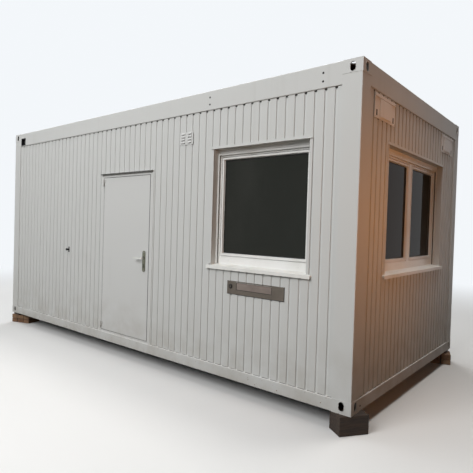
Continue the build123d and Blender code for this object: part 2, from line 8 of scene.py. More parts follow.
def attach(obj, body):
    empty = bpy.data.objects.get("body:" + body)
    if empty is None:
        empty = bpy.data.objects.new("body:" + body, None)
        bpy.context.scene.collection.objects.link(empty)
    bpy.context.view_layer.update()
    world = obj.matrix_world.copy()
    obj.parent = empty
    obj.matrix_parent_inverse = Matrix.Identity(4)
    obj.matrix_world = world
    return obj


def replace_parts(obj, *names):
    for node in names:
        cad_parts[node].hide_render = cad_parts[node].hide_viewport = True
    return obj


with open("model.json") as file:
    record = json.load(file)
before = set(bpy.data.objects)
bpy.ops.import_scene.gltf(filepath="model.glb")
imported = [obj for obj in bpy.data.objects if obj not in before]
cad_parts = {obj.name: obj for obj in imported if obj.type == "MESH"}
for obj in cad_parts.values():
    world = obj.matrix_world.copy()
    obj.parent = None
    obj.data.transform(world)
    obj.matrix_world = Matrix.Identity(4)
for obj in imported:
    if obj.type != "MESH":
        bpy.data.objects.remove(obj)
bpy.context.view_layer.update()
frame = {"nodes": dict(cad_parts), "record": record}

cabin = {  # the cabin's own sizes in metres, as in the CAD frame
    "length": 6.055, "width": 2.990, "height": 2.925, "raised": 0.165,
    "panelFace": 0.010, "wallLow": 0.112, "wallHigh": 2.725,
    "postLength": 0.178, "postWidth": 0.162, "postHeight": 0.112,
}
groove = {"pitch": 0.099, "width": 0.027, "depth": 0.009, "slope": 0.005, "first": 0.085}
windowEdges = {"front": (4.448, 5.585), "right": (0.634, 2.356)}  # left and right edges of the openings
doorEdges = (2.475, 3.515)
halfLength = cabin["length"] / 2
halfWidth = cabin["width"] / 2
longWall = {"run": cabin["length"], "reach": halfWidth, "post": cabin["postLength"]}
shortWall = {"run": cabin["width"], "reach": halfLength, "post": cabin["postWidth"]}
walls = {  # outward and to the right, as seen from outside; reach is from the cabin's middle
    "front": {"out": (0, -1), "right": (1, 0), **longWall},
    "right": {"out": (1, 0), "right": (0, 1), **shortWall},
    "back": {"out": (0, 1), "right": (-1, 0), **longWall},
    "left": {"out": (-1, 0), "right": (0, -1), **shortWall},
}


def wallPoint(side, along, depth, height):
    # a place on a wall: along it to the right as seen from outside, inward, and up from the steel frame
    wall = walls[side]
    across = along - wall["run"] / 2
    away = wall["reach"] - depth
    x, y = [wall["right"][axis] * across + wall["out"][axis] * away for axis in (0, 1)]
    return Vector((x, y, height + cabin["raised"]))


# Node trees: sockets with arithmetic, and a bench that adds nodes
class Wire:  # one socket of a node; arithmetic on it adds Math nodes
    def __init__(self, bench, socket):
        self.bench = bench
        self.socket = socket

    def pick(self, name):  # another output of the same node
        return Wire(self.bench, self.socket.node.outputs[name])

    def math(self, operation, first, second=0.0):
        return self.bench.node("ShaderNodeMath", {"operation": operation}, {0: first, 1: second})

    def __add__(self, other):
        return self.math("ADD", self, other)

    def __sub__(self, other):
        return self.math("SUBTRACT", self, other)

    def __rsub__(self, other):
        return self.math("SUBTRACT", other, self)

    def __mul__(self, other):
        return self.math("MULTIPLY", self, other)

    def least(self, other):
        return self.math("MINIMUM", self, other)

    def most(self, other):
        return self.math("MAXIMUM", self, other)

    def size(self):
        return self.math("ABSOLUTE", self)

    __radd__ = __add__
    __rmul__ = __mul__


class Bench:  # a node tree being built
    def __init__(self, tree):
        self.tree = tree

    def node(self, kind, settings=None, sockets=None, out=0):
        made = self.tree.nodes.new(kind)
        for name, value in (settings or {}).items():
            setattr(made, name, value)
        for name, value in (sockets or {}).items():
            if isinstance(value, Wire):
                self.tree.links.new(value.socket, made.inputs[name])
            else:
                made.inputs[name].default_value = value
        return Wire(self, made.outputs[out]) if made.outputs else made

    def rise(self, value, low, high):  # 0 at low, 1 at high, smooth between
        ends = {"Value": value, "From Min": low, "From Max": high}
        return self.node("ShaderNodeMapRange", {"interpolation_type": "SMOOTHSTEP"}, ends)

    def stored(self, kind, name):  # an attribute that the points carry
        return self.node("GeometryNodeInputNamedAttribute", {"data_type": kind}, {"Name": name})

    def draw(self, low, high, seed):  # a random number for each point
        ends = {"Min": low, "Max": high, "Seed": seed}
        return self.node("FunctionNodeRandomValue", {"data_type": "FLOAT"}, ends, out=1)


class Finish(Bench):  # a material being mixed
    def __init__(self, name):
        self.material = bpy.data.materials.new(name)
        self.material.use_nodes = True
        super().__init__(self.material.node_tree)
        self.tree.nodes.clear()
        self.place = self.node("ShaderNodeTexCoord", out="Object")
        self.x = self.node("ShaderNodeSeparateXYZ", sockets={0: self.place}, out="X")
        self.y, self.z = self.x.pick("Y"), self.x.pick("Z")

    def noise(self, scale, detail=2.0, stretch=None, place=None, sharp=0.5):
        spot = place or self.place
        if stretch:
            spot = self.node("ShaderNodeMapping", sockets={"Vector": spot, "Scale": stretch})
        values = {"Vector": spot, "Scale": scale, "Detail": detail, "Roughness": sharp}
        return self.node("ShaderNodeTexNoise", sockets=values)

    def ripple(self, value, pitch):  # 0 to 1 and back once in each pitch
        return self.node("ShaderNodeMath", {"operation": "PINGPONG"}, {0: value * (2 / pitch), 1: 1.0})

    def tint(self, factor, under, over):
        under, over = [c if isinstance(c, Wire) else (*c, 1) for c in (under, over)]
        return self.node("ShaderNodeMix", {"data_type": "RGBA"}, {0: factor, 6: under, 7: over}, out=2)

    def coat(self, colour, roughness, relief, others=None):  # relief is a height in metres
        bump = self.node("ShaderNodeBump", sockets={"Height": relief, "Distance": 1.0, "Strength": 1.0})
        sockets = {"Base Color": colour, "Roughness": roughness, "Normal": bump, **(others or {})}
        shader = self.node("ShaderNodeBsdfPrincipled", sockets=sockets)
        self.node("ShaderNodeOutputMaterial", sockets={"Surface": shader})
        return self.material


def darker(colour, share):
    return tuple(value * share for value in colour)


# Finishes
paintLook = {  # the pairs are levels above the ground or, for the casting, depths behind its face
    "streakColour": (0.36, 0.35, 0.31), "streaks": 0.12, "topStreaks": (1.3, 2.95),
    "sillStreaks": (0.5, 1.26), "sill": (1.26, 1.28), "sillShare": 0.7,
    "dustColour": (0.30, 0.26, 0.20), "dust": 0.34, "splash": (0.18, 0.95),
    "foot": (0.16, 0.30), "footShare": 0.35, "edge": 0.0005, "castingEdge": 0.002,
    "grooveColour": (0.66, 0.665, 0.65), "grooves": 0.3,
    "insideColour": (0.045, 0.038, 0.030), "inside": (0.0088, 0.0098), "insideShare": 0.95,
    "chipColour": (0.16, 0.075, 0.035), "chips": 0.8, "chipsBelow": (0.2, 0.34), "chipDepth": 0.0002,
    "cloud": 0.1, "cloudShade": 0.86, "roughness": 0.32, "shine": 0.08, "peel": 0.00006, "wave": 0.0012,
}


def paintFinish(name, colour):
    look = paintLook
    paint = Finish(name)
    x, y, z = paint.x, paint.y, paint.z
    base = paint.tint(paint.noise(0.9, 3.0) * look["cloud"], colour, darker(colour, look["cloudShade"]))
    # rain streaks run down from the top rail and the sills
    thread = paint.rise(paint.noise(1.0, 4.0, (11.0, 11.0, 0.35)), 0.52, 0.78)
    fromTop = paint.rise(z, *look["topStreaks"])
    underSill = paint.rise(z, *look["sillStreaks"]) * (1 - paint.rise(z, *look["sill"]))
    run = fromTop + underSill * look["sillShare"]
    base = paint.tint(thread * run * look["streaks"], base, look["streakColour"])
    # road dust splashed on the lowest part
    splash = (1 - paint.rise(z, *look["splash"])) * paint.rise(paint.noise(5.0, 5.0), 0.25, 0.8)
    foot = 1 - paint.rise(z, *look["foot"])
    base = paint.tint((splash + foot * look["footShare"]) * look["dust"], base, look["dustColour"])
    behind = (halfWidth - y.size()).least(halfLength - x.size())  # how far behind the outermost face
    if name == "panelPaint":  # the grooves are painted lighter: painted light that offsets the shade in them
        face = cabin["panelFace"]
        sunk = paint.rise(behind, face + look["edge"], face + groove["depth"])
        base = paint.tint(sunk * look["grooves"], base, look["grooveColour"])
    elif name == "framePaint":  # the insides of the corner castings are darkened: grime, and painted shade in the hollows
        corner = 1.0
        for value, edge in ((x, halfLength - cabin["postLength"]), (y, halfWidth - cabin["postWidth"])):
            corner = paint.rise(value.size(), edge, edge + look["castingEdge"]) * corner
        grimeAndShade = corner * paint.rise(behind, *look["inside"])
        base = paint.tint(grimeAndShade * look["insideShare"], base, look["insideColour"])
    # small chips and rust on the lower edges
    chip = paint.rise(paint.noise(38.0, 4.0), 0.69, 0.72) * (1 - paint.rise(z, *look["chipsBelow"]))
    base = paint.tint(chip * look["chips"], base, look["chipColour"])
    rough = paint.noise(7.0, 3.0) * 0.16 + splash * 0.22 + look["roughness"]
    skin = paint.noise(240.0, 1.0) * look["peel"] + paint.noise(1.6, 1.0) * look["wave"]
    return paint.coat(base, rough, skin - chip * look["chipDepth"], {"Specular IOR Level": look["shine"]})


paints = {
    "framePaint": ((0.595, 0.600, 0.585),), "panelPaint": ((0.595, 0.600, 0.585),),
    "doorPaint": ((0.610, 0.613, 0.600),), "coverPaint": ((0.86, 0.865, 0.87),),
}
zincLook = {
    "light": (0.36, 0.37, 0.385), "dark": (0.24, 0.25, 0.265), "bloomColour": (0.40, 0.40, 0.39),
    "bloom": 0.6, "spangle": 34.0, "roughness": 0.46, "metal": 0.45, "dents": 0.002, "ridges": 0.00005,
}


def zincFinish(name):
    look = zincLook
    zinc = Finish(name)
    cells = {"Vector": zinc.place, "Scale": look["spangle"]}
    spangle = zinc.node("ShaderNodeTexVoronoi", sockets=cells, out="Color")
    grain = zinc.node("ShaderNodeSeparateColor", sockets={0: spangle})
    bloom = zinc.rise(zinc.noise(3.0, 5.0), 0.5, 0.8)
    base = zinc.tint(grain, look["dark"], look["light"])
    base = zinc.tint(bloom * look["bloom"], base, look["bloomColour"])
    rough = grain * 0.16 + bloom * 0.2 + look["roughness"]
    relief = zinc.noise(2.2, 2.0) * look["dents"] + grain * look["ridges"]
    return zinc.coat(base, rough, relief, {"Metallic": look["metal"]})


plastics = {  # colour, colour and share of the grime, roughness, and the grain's height if coarse
    "windowPlastic": ((0.80, 0.80, 0.78), (0.42, 0.38, 0.31), 0.20, 0.30),
    "sillCoat": ((0.79, 0.79, 0.76), (0.40, 0.36, 0.29), 0.22, 0.34),
    "blackPlastic": ((0.014, 0.014, 0.015), (0.07, 0.065, 0.06), 0.3, 0.5),
    # the near-black rubber is real seals and also the painted shade in gaps, slots and holes
    "rubber": ((0.014, 0.014, 0.015), (0.07, 0.065, 0.06), 0.5, 0.7),
    "dripRubber": ((0.095, 0.097, 0.092), (0.20, 0.19, 0.17), 0.4, 0.7),
    "beddingDirt": ((0.020, 0.015, 0.011), (0.06, 0.045, 0.03), 0.6, 0.9, 0.0006),
}


def plasticFinish(name, colour, grimeColour, grime, roughness, grain=0.00003):
    plastic = Finish(name)
    smear = plastic.rise(plastic.noise(4.0, 5.0, (1.0, 1.0, 0.5)), 0.42, 0.85)
    speck = plastic.rise(plastic.noise(120.0, 2.0), 0.66, 0.76)
    base = plastic.tint(smear * grime + speck * grime * 0.5, colour, grimeColour)
    rough = smear * 0.2 + plastic.noise(18.0) * 0.08 + (roughness - 0.04)
    return plastic.coat(base, rough, plastic.noise(500.0, 2.0) * grain, {"Specular IOR Level": 0.25})


# The glass is dark and nearly opaque, painted shade of the dim room behind it; its film and drops are dirt.
glassLook = {
    "tint": (0.030, 0.032, 0.028), "filmColour": (0.12, 0.12, 0.11), "film": 0.10,
    "clear": 0.93, "mirror": 0.06, "bend": 1.3, "sway": 0.0006, "polish": 0.02,
}


def glassFinish(name):
    look = glassLook
    glass = Finish(name)
    film = glass.rise(glass.noise(2.0, 5.0, (1.0, 1.0, 0.6)), 0.45, 0.9)
    drop = glass.rise(glass.noise(90.0, 1.0), 0.72, 0.8)
    base = glass.tint((film + drop) * look["film"], look["tint"], look["filmColour"])
    rough = film * 0.06 + drop * 0.1 + look["polish"]
    others = {"IOR": look["bend"], "Alpha": look["clear"], "Specular IOR Level": look["mirror"]}
    return glass.coat(base, rough, glass.noise(1.4, 1.0) * look["sway"], others)


metals = {  # light and dark tone, how the brush marks are stretched, roughness
    "stainless": ((0.26, 0.212, 0.185), (0.14, 0.114, 0.100), (3.0, 3.0, 420.0), 0.42),
    "lockPlate": ((0.17, 0.145, 0.12), (0.085, 0.072, 0.060), (3.0, 3.0, 420.0), 0.45),
    "handleMetal": ((0.74, 0.74, 0.69), (0.56, 0.56, 0.52), (40.0, 40.0, 300.0), 0.38),
    "plateMetal": ((0.22, 0.22, 0.165), (0.11, 0.11, 0.08), (300.0, 40.0, 40.0), 0.42),
    "zincSteel": ((0.55, 0.55, 0.53), (0.36, 0.36, 0.35), (90.0, 90.0, 90.0), 0.42),
}


def metalFinish(name, light, dark, stretch, roughness):
    metal = Finish(name)
    line = metal.noise(1.0, 5.0, stretch, sharp=0.7)
    tarnish = metal.rise(metal.noise(7.0, 4.0), 0.35, 0.8)
    base = metal.tint(tarnish * 0.35, metal.tint(line, dark, light), darker(dark, 0.55))
    rough = line * 0.18 + tarnish * 0.16 + (roughness - 0.1)
    return metal.coat(base, rough, line * 0.00012, {"Metallic": 0.9})


# the dark gauze paints shade in the cover slots, the pale gauze paints light behind the louvres
gauzes = {  # thread and gap
    "darkGauze": ((0.020, 0.020, 0.019), (0.004, 0.004, 0.004)),
    "paleGauze": ((0.54, 0.54, 0.53), (0.32, 0.32, 0.31)),
}


def gauzeFinish(name, thread, gap, pitch=0.0016):
    gauze = Finish(name)
    weave = gauze.ripple(gauze.x + gauze.y, pitch).most(gauze.ripple(gauze.z, pitch))
    return gauze.coat(gauze.tint(weave, gap, thread), 0.7 - weave * 0.2, weave * 0.0003)


boards = {  # colour, distance between the joints
    "liningBoard": ((0.78, 0.77, 0.73), 1.15), "floorCover": ((0.20, 0.205, 0.21), 1.9),
}


def boardFinish(name, colour, joint):
    board = Finish(name)
    fleck = board.noise(55.0, 4.0)
    cloud = board.noise(1.2, 2.0)
    seam = board.rise(board.ripple(board.x, joint), 0.006, 0.0)
    base = board.tint((fleck + cloud) * 0.10, colour, darker(colour, 0.72))
    base = board.tint(seam * 0.5, base, darker(colour, 0.45))
    return board.coat(base, fleck * 0.12 + 0.42, fleck * 0.00015 - seam * 0.0006)


woolLook = {"shade": (0.40, 0.36, 0.20), "strand": (0.66, 0.61, 0.42), "depth": 0.004}


def woolFinish(name):
    wool = Finish(name)
    strand = wool.noise(60.0, 6.0, (1.0, 1.0, 5.0))
    base = wool.tint(strand, woolLook["shade"], woolLook["strand"])
    return wool.coat(base, 0.95, strand * woolLook["depth"])


brickLook = {
    "red": (0.17, 0.074, 0.036), "buff": (0.30, 0.19, 0.11), "burntColour": (0.050, 0.028, 0.018),
    "dustColour": (0.27, 0.21, 0.14), "burnt": 0.55, "dust": 0.55, "coarse": 0.003, "pits": 0.0012,
}


def brickFinish(name):
    look = brickLook
    brick = Finish(name)
    tone = brick.node("ShaderNodeAttribute", {"attribute_name": "tone"}, out="Fac")
    fire = brick.rise(brick.noise(14.0, 5.0), 0.35, 0.75)
    dust = brick.rise(brick.noise(30.0, 6.0), 0.55, 0.8)
    base = brick.tint(fire * look["burnt"], brick.tint(tone, look["red"], look["buff"]), look["burntColour"])
    base = brick.tint(dust * look["dust"], base, look["dustColour"])
    pit = brick.rise(brick.noise(150.0, 3.0), 0.42, 0.3)
    return brick.coat(base, 0.92, brick.noise(45.0, 5.0) * look["coarse"] - pit * look["pits"])


timberLook = {
    "light": (0.050, 0.031, 0.020), "dark": (0.016, 0.010, 0.007), "silverColour": (0.070, 0.048, 0.031),
    "crackColour": (0.006, 0.004, 0.003), "silver": 0.30, "cracks": 0.8, "rings": 0.0025, "crackDepth": 0.003,
}


def timberFinish(name):
    look = timberLook
    timber = Finish(name)
    spot = timber.node("ShaderNodeAttribute", {"attribute_name": "grain"}, out="Vector")
    ring = timber.noise(1.0, 5.0, (3.0, 60.0, 60.0), spot, 0.65)
    base = timber.tint(timber.rise(ring, 0.35, 0.68), look["dark"], look["light"])
    weather = timber.rise(timber.noise(9.0, 4.0, None, spot), 0.5, 0.8)
    base = timber.tint(weather * look["silver"], base, look["silverColour"])
    crack = timber.rise(timber.noise(1.0, 2.0, (2.0, 90.0, 90.0), spot), 0.36, 0.30)
    base = timber.tint(crack * look["cracks"], base, look["crackColour"])
    return timber.coat(base, 0.85, ring * look["rings"] - crack * look["crackDepth"])


finishes = {}
for maker, looks in (
    (paintFinish, paints), (zincFinish, {"galvanised": ()}), (plasticFinish, plastics),
    (glassFinish, {"windowGlass": ()}), (metalFinish, metals), (gauzeFinish, gauzes),
    (boardFinish, boards), (woolFinish, {"mineralWool": ()}), (brickFinish, {"firedBrick": ()}),
    (timberFinish, {"weatheredTimber": ()}),
):
    for finishName, values in looks.items():
        finishes[finishName] = maker(finishName, *values)
print("finishes", len(finishes))

finishOfSlot = {  # where a finish isn't called as its slot is
    "insulation": "mineralWool", "window_glazing": "windowGlass",
    "brick": "firedBrick", "timber": "weatheredTimber",
}
finishOfNode = {  # where a piece looks unlike the rest of its slot
    "hinge_fixed_halves": "doorPaint", "hinge_leaf_halves": "doorPaint", "handle_plates": "plateMetal",
    "vent_grille": "doorPaint", "vent_covers": "coverPaint", "letter_plate": "lockPlate",
}


def finishFor(node, slot):
    first, *others = slot.split("_")
    called = first + "".join(word.capitalize() for word in others)
    return finishes[finishOfNode.get(node, finishOfSlot.get(slot, called))]


for subpart in frame["record"]["subparts"]:
    for place in frame["nodes"][subpart["node"]].material_slots:
        place.link = "OBJECT"
        place.material = finishFor(subpart["node"], subpart["material_slot"])
print("carried-over nodes painted", len(frame["nodes"]))


# Making pieces
def linked(name, data):
    made = bpy.data.objects.new(name, data)
    bpy.context.scene.collection.objects.link(made)
    return made


def fitted(piece, body):
    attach(piece, body)
    return piece


def asPiece(name, mesh, finish, body="cabin"):
    mesh.materials.append(finishes[finish])
    return fitted(linked(name, mesh), body)


def newTree(name, sizes):
    # a geometry tree with named sizes; gives its bench, its incoming geometry and its sizes by name
    tree = bpy.data.node_groups.new(name, "GeometryNodeTree")
    sizes = {**sizes, "Material": "Material"}
    for way in ("OUTPUT", "INPUT"):
        tree.interface.new_socket("Geometry", in_out=way, socket_type="NodeSocketGeometry")
    for label, kind in sizes.items():
        tree.interface.new_socket(label, in_out="INPUT", socket_type="NodeSocket" + kind)
    bench = Bench(tree)
    start = bench.node("NodeGroupInput")
    return bench, start, {label: start.pick(label) for label in sizes}


def endTree(bench, geometry, material):
    real = bench.node("GeometryNodeRealizeInstances", sockets={0: geometry})
    dressed = bench.node("GeometryNodeSetMaterial", sockets={"Geometry": real, "Material": material})
    bench.node("NodeGroupOutput", sockets={0: dressed})
    return bench.tree


def grow(name, tree, mesh, sizes, finish, body="cabin"):
    # runs a tree on a mesh and keeps the result as a plain mesh
    sizes = {**sizes, "Material": finishes[finish]}
    piece = linked(name, mesh)
    modifier = piece.modifiers.new("grow", "NODES")
    modifier.node_group = tree
    for item in tree.interface.items_tree:
        if item.in_out == "INPUT" and item.name in sizes:
            modifier[item.identifier] = sizes[item.name]
    graph = bpy.context.evaluated_depsgraph_get()
    plain = bpy.data.meshes.new_from_object(piece.evaluated_get(graph))
    piece.modifiers.clear()
    piece.data = plain
    return fitted(piece, body)


def pointMesh(name, points, **numbers):
    # loose points that carry attributes for a tree to read
    mesh = bpy.data.meshes.new(name)
    mesh.from_pydata(points, [], [])
    for label, values in numbers.items():
        isVector = hasattr(values[0], "__len__")
        made = mesh.attributes.new(label, "FLOAT_VECTOR" if isVector else "FLOAT", "POINT")
        for item, value in zip(made.data, values):
            setattr(item, "vector" if isVector else "value", value)
    return mesh


def lineMesh(name, lines, closed):
    points, edges = [], []
    for line in lines:
        first = len(points)
        points += line
        edges += [(first + index, first + index + 1) for index in range(len(line) - 1)]
        if closed:
            edges.append((len(points) - 1, first))
    mesh = bpy.data.meshes.new(name)
    mesh.from_pydata(points, edges, [])
    return mesh


def meshFrom(shape, name):  # the shape is freed
    mesh = bpy.data.meshes.new(name)
    shape.to_mesh(mesh)
    shape.free()
    return mesh


def easedBlock(size, edge, profile):
    # a block round the origin with eased edges
    shape = bmesh.new()
    bmesh.ops.create_cube(shape, size=1.0)
    bmesh.ops.scale(shape, vec=size, verts=shape.verts)
    bmesh.ops.bevel(shape, geom=shape.edges[:], offset=edge, segments=2, profile=profile, affect="EDGES")
    return shape


def prisms(name, pairs, finish="rubber", body="cabin"):
    # closed prisms, each between the two rings of points at its ends
    shape = bmesh.new()
    for pair in pairs:
        start, end = [[shape.verts.new(point) for point in ring] for ring in pair]
        for index, vert in enumerate(start):
            after = (index + 1) % len(start)
            shape.faces.new((vert, start[after], end[after], end[index]))
        shape.faces.new(start)
        shape.faces.new(end)
    bmesh.ops.recalc_face_normals(shape, faces=shape.faces[:])
    return asPiece(name, meshFrom(shape, name), finish, body)


def ringOn(outline, depth, side="front"):
    # an outline of (along, height) at one depth
    return [wallPoint(side, along, depth, height) for along, height in outline]


def panelOn(outline, *depths, side="front"):
    # the same outline carried from one depth to another
    return [ringOn(outline, depth, side) for depth in depths]


def edgesOf(part):
    return [part[edge] for edge in ("left", "right", "low", "high")]


def box(left, right, low, high, more=0.0):
    # a rectangle's outline, grown by a little more on every side
    left, right, low, high = left - more, right + more, low - more, high + more
    return [(left, low), (right, low), (right, high), (left, high)]


def stadium(x, z, half, radius, count=24):
    # an upright slot's outline, round at both ends
    points = []
    for index in range(count):
        angle = 2 * math.pi * (index + 0.5) / count
        rise = math.copysign(half - radius, math.sin(angle))
        points.append((x + radius * math.cos(angle), z + rise + radius * math.sin(angle)))
    return points


def circle(x, z, radius, count=24, narrow=0.999):
    return stadium(x, z, radius, radius * narrow, count)


# Rubber, weld and painted-shade beads along paths
beads = {"sides": 8, "cornerSteps": 4}


def beadTree():
    bench, start, size = newTree("beadAlongPath", {"Radius": "Float", "Corner": "Float"})
    path = bench.node("GeometryNodeMeshToCurve", sockets={0: start})
    fillet = {"Curve": path, "Count": beads["cornerSteps"], "Radius": size["Corner"], "Limit Radius": True}
    rounded = bench.node("GeometryNodeFilletCurve", {"mode": "POLY"}, fillet)
    section = {"Resolution": beads["sides"], "Radius": size["Radius"]}
    profile = bench.node("GeometryNodeCurvePrimitiveCircle", sockets=section)
    sweep = {"Curve": rounded, "Profile Curve": profile, "Fill Caps": True}
    tube = bench.node("GeometryNodeCurveToMesh", sockets=sweep)
    smooth = bench.node("GeometryNodeSetShadeSmooth", sockets={"Geometry": tube})
    return endTree(bench, smooth, size["Material"])


bead = beadTree()


def layBead(
    name, lines, radius, corner=0.0005, closed=True, finish="rubber", body="cabin",
):
    path = lineMesh(name + "Path", lines, closed)
    return grow(name, bead, path, {"Radius": radius, "Corner": corner}, finish, body)


glazing = {
    "panes": (("front", 4.522, 5.511), ("right", 0.708, 1.423), ("right", 1.567, 2.282)),
    "low": 1.250, "high": 2.210, "faces": (0.122, 0.148), "seal": 0.0042, "tuck": 0.6, "corner": 0.006,
}
paneRings = []
for side, left, right in glazing["panes"]:
    outline = box(left, right, glazing["low"], glazing["high"], -glazing["seal"] * glazing["tuck"])
    paneRings += panelOn(outline, *glazing["faces"], side=side)
layBead("glassSeals", paneRings, glazing["seal"], glazing["corner"])

doorSeal = {
    "left": 2.541, "right": 3.449, "low": 0.147, "high": 2.099,
    "depth": 0.0535, "radius": 0.0023, "corner": 0.012,
}
doorRing = ringOn(box(*edgesOf(doorSeal)), doorSeal["depth"])
layBead("doorSeal", [doorRing], doorSeal["radius"], doorSeal["corner"])

welds = {"radius": 0.0022, "proud": 0.0004, "corner": 0.001}
weldLines = []
for level in (cabin["postHeight"], cabin["height"] - cabin["postHeight"]):
    for before, after in (("left", "front"), ("front", "right"), ("right", "back"), ("back", "left")):
        end = walls[before]["run"]
        runs = ((before, end - walls[before]["post"]), (before, end - welds["corner"]))
        runs += ((after, welds["corner"]), (after, walls[after]["post"]))
        weldLines.append([wallPoint(side, along, -welds["proud"], level) for side, along in runs])
layBead("cornerWelds", weldLines, welds["radius"], welds["corner"], False, "framePaint")

slots = {"levels": (0.062, 2.863), "half": 0.040, "radius": 0.0255, "lip": 0.0017, "proud": 0.0002}
rims = []
for side in ("front", "back", "right", "left"):
    inset, lip = walls[side]["post"] / 2, slots["lip"] / 2
    for along in (inset, walls[side]["run"] - inset):
        for level in slots["levels"]:
            outline = stadium(along, level, slots["half"] + lip, slots["radius"] + lip)
            rims.append(ringOn(outline, -slots["proud"], side))
layBead("castingRims", rims, slots["lip"], finish="framePaint")

guides = {"inset": 0.019, "depths": (0.0832, 0.0908), "ends": (1.139, 2.279), "radius": 0.0028}
guideLines = []
for side, (left, right) in windowEdges.items():
    for along in (left + guides["inset"], right - guides["inset"]):
        for depth in guides["depths"]:
            guideLines.append([wallPoint(side, along, depth, level) for level in guides["ends"]])
layBead("guideSeals", guideLines, guides["radius"], closed=False)

drip = {"ends": (2.484, 3.506), "section": [
    (-0.0190, 2.1445), (-0.0190, 2.1530), (-0.0172, 2.1552), (-0.0080, 2.1590), (-0.0080, 2.1540),
    (-0.0158, 2.1508), (-0.0158, 2.1480), (-0.0080, 2.1480), (-0.0080, 2.1445),
]}
dripRings = [[wallPoint("front", along, *spot) for spot in drip["section"]] for along in drip["ends"]]
prisms("dripSeal", [dripRings], "dripRubber")

# Dark strips behind the gaps round the door leaf: painted shade in the gaps
leaf = {  # the lips are how far each strip reaches over the leaf and past its edge
    "left": 2.535, "right": 3.455, "low": 0.141, "high": 2.105, "depths": (0.0055, 0.016),
    "leftLip": (0.001, 0.0022), "rightLip": (0.003, 0.0042), "topLip": (0.001, 0.0030),
    "footLip": (0.001, 0.0024), "hingeRoom": 0.11,
}
left, right, low, high = edgesOf(leaf)
inner, room = right - leaf["rightLip"][0], leaf["hingeRoom"]
strips = [
    box(inner, right + leaf["rightLip"][1], low, high),
    box(left - leaf["leftLip"][1], left + leaf["leftLip"][0], low + room, high - room),
    box(left, inner, high - leaf["topLip"][0], high + leaf["topLip"][1]),
    box(left, inner, low - leaf["footLip"][1], low + leaf["footLip"][0]),
]
prisms("leafSeal", [panelOn(outline, *leaf["depths"]) for outline in strips], body="door")

# Fittings on the walls, which the painted-shade plugs in the grooves, the screws, the gauze and the dark
# strips by the letter plate follow
cover = {
    "lefts": (0.268, 2.256), "width": 0.466, "low": 2.498, "high": 2.705, "face": 0.005, "band": -0.001,
    "rivet": 0.0045, "rivetIn": 0.014, "rivetDown": 0.013, "rivetUp": 0.011,
}
grille = {
    "left": 3.9355, "right": 4.1415, "low": 2.400, "high": 2.535,
    "face": 0.007, "screw": 0.003, "screwIn": 0.007,
}
plate = {
    "left": 4.686, "right": 5.366, "low": 0.858, "high": 0.986,
    "face": 0.005, "screw": 0.0035, "screwIn": 0.012,
}
stop = {  # a collar is its radius and the depths of its two ends
    "x": 1.7005, "z": 1.133, "face": 0.006, "screw": 0.004, "screwRise": 0.026,
    "collars": ((0.0165, -0.0335, -0.0215), (0.0150, 0.0, 0.0055)), "sides": 20,
}
door = {
    "axis": 2.5325, "leafFace": 0.002, "hinges": (0.201, 2.045), "plateFace": -0.002,
    "handleX": 3.375, "handleZ": 1.082, "spindleZ": 1.119, "cylinderZ": 1.027,
    "hingeScrew": 0.0038, "hingeScrewIn": 0.022, "hingeScrewRises": (0.010, 0.028),
    "plateScrew": 0.004, "plateScrewRises": (-0.108, 0.108),
}

# Painted shade: dark plugs in the tops of the grooves, and a dark strip at the foot of the flats between them
grooveShade = {
    "high": 0.011, "sunk": 0.0012, "shy": 0.0004, "foot": 0.0034, "proud": 0.0003, "deep": 0.0005,
    "end": 0.004, "sillLevel": 1.104, "underSill": 0.022, "underCover": 0.007,
}


def grooveLefts(wall):
    room = wall["run"] - 2 * wall["post"] - groove["first"] - groove["width"]
    return [
        wall["post"] + groove["first"] + index * groove["pitch"]
        for index in range(math.ceil(room / groove["pitch"]))
    ]


def grooveShadeTops(side, left):  # the levels that a groove runs up to, each with the dark plug's height there
    right = left + groove["width"]
    tops = [(cabin["wallHigh"], grooveShade["high"])]
    if side in windowEdges and windowEdges[side][0] < left and right < windowEdges[side][1]:
        tops.append((grooveShade["sillLevel"], grooveShade["underSill"]))
    if side == "right" and any(edge < left and right < edge + cover["width"] for edge in cover["lefts"]):
        tops.append((cover["low"], grooveShade["underCover"]))
    return tops


panelFace, shy = cabin["panelFace"], grooveShade["shy"]
near, far = panelFace + grooveShade["sunk"], panelFace + groove["depth"] - shy
nearIn = groove["slope"] * grooveShade["sunk"] / groove["depth"] + shy
farIn = groove["slope"] + shy
grooveShadePlugs, footJoints = [], []
for side, wall in walls.items():
    flats = [wall["post"] + grooveShade["end"]]
    for left in grooveLefts(wall):
        right = left + groove["width"]
        section = ((left + nearIn, near), (right - nearIn, near), (right - farIn, far), (left + farIn, far))
        for top, high in grooveShadeTops(side, left):
            grooveShadePlugs.append([
                [wallPoint(side, along, depth, level) for along, depth in section]
                for level in (top - high, top - shy)
            ])
        flats += [left, right]
    flats.append(wall["run"] - wall["post"] - grooveShade["end"])
    for left, right in zip(flats[::2], flats[1::2]):
        if side == "front" and right > doorEdges[0] and left < doorEdges[1]:
            continue
        # a dark strip at the foot of each flat paints the shadow under the panel's lower edge
        outline = box(left, right, cabin["wallLow"] + shy, cabin["wallLow"] + grooveShade["foot"])
        depths = (panelFace - grooveShade["proud"], panelFace + grooveShade["deep"])
        footJoints.append(panelOn(outline, *depths, side=side))
prisms("grooveFoam", grooveShadePlugs)
prisms("footJoints", footJoints)
print("seals and welds laid", len(grooveShadePlugs), len(footJoints))

# Screws and rivets
knob = {  # shares of the head's radius, sides of its washer and dome, and its greatest turn
    "thick": 0.4, "narrow": 0.45, "wide": 0.7, "lift": 0.2, "sides": 14, "flats": 8, "turn": 1.05, "seed": 4,
}


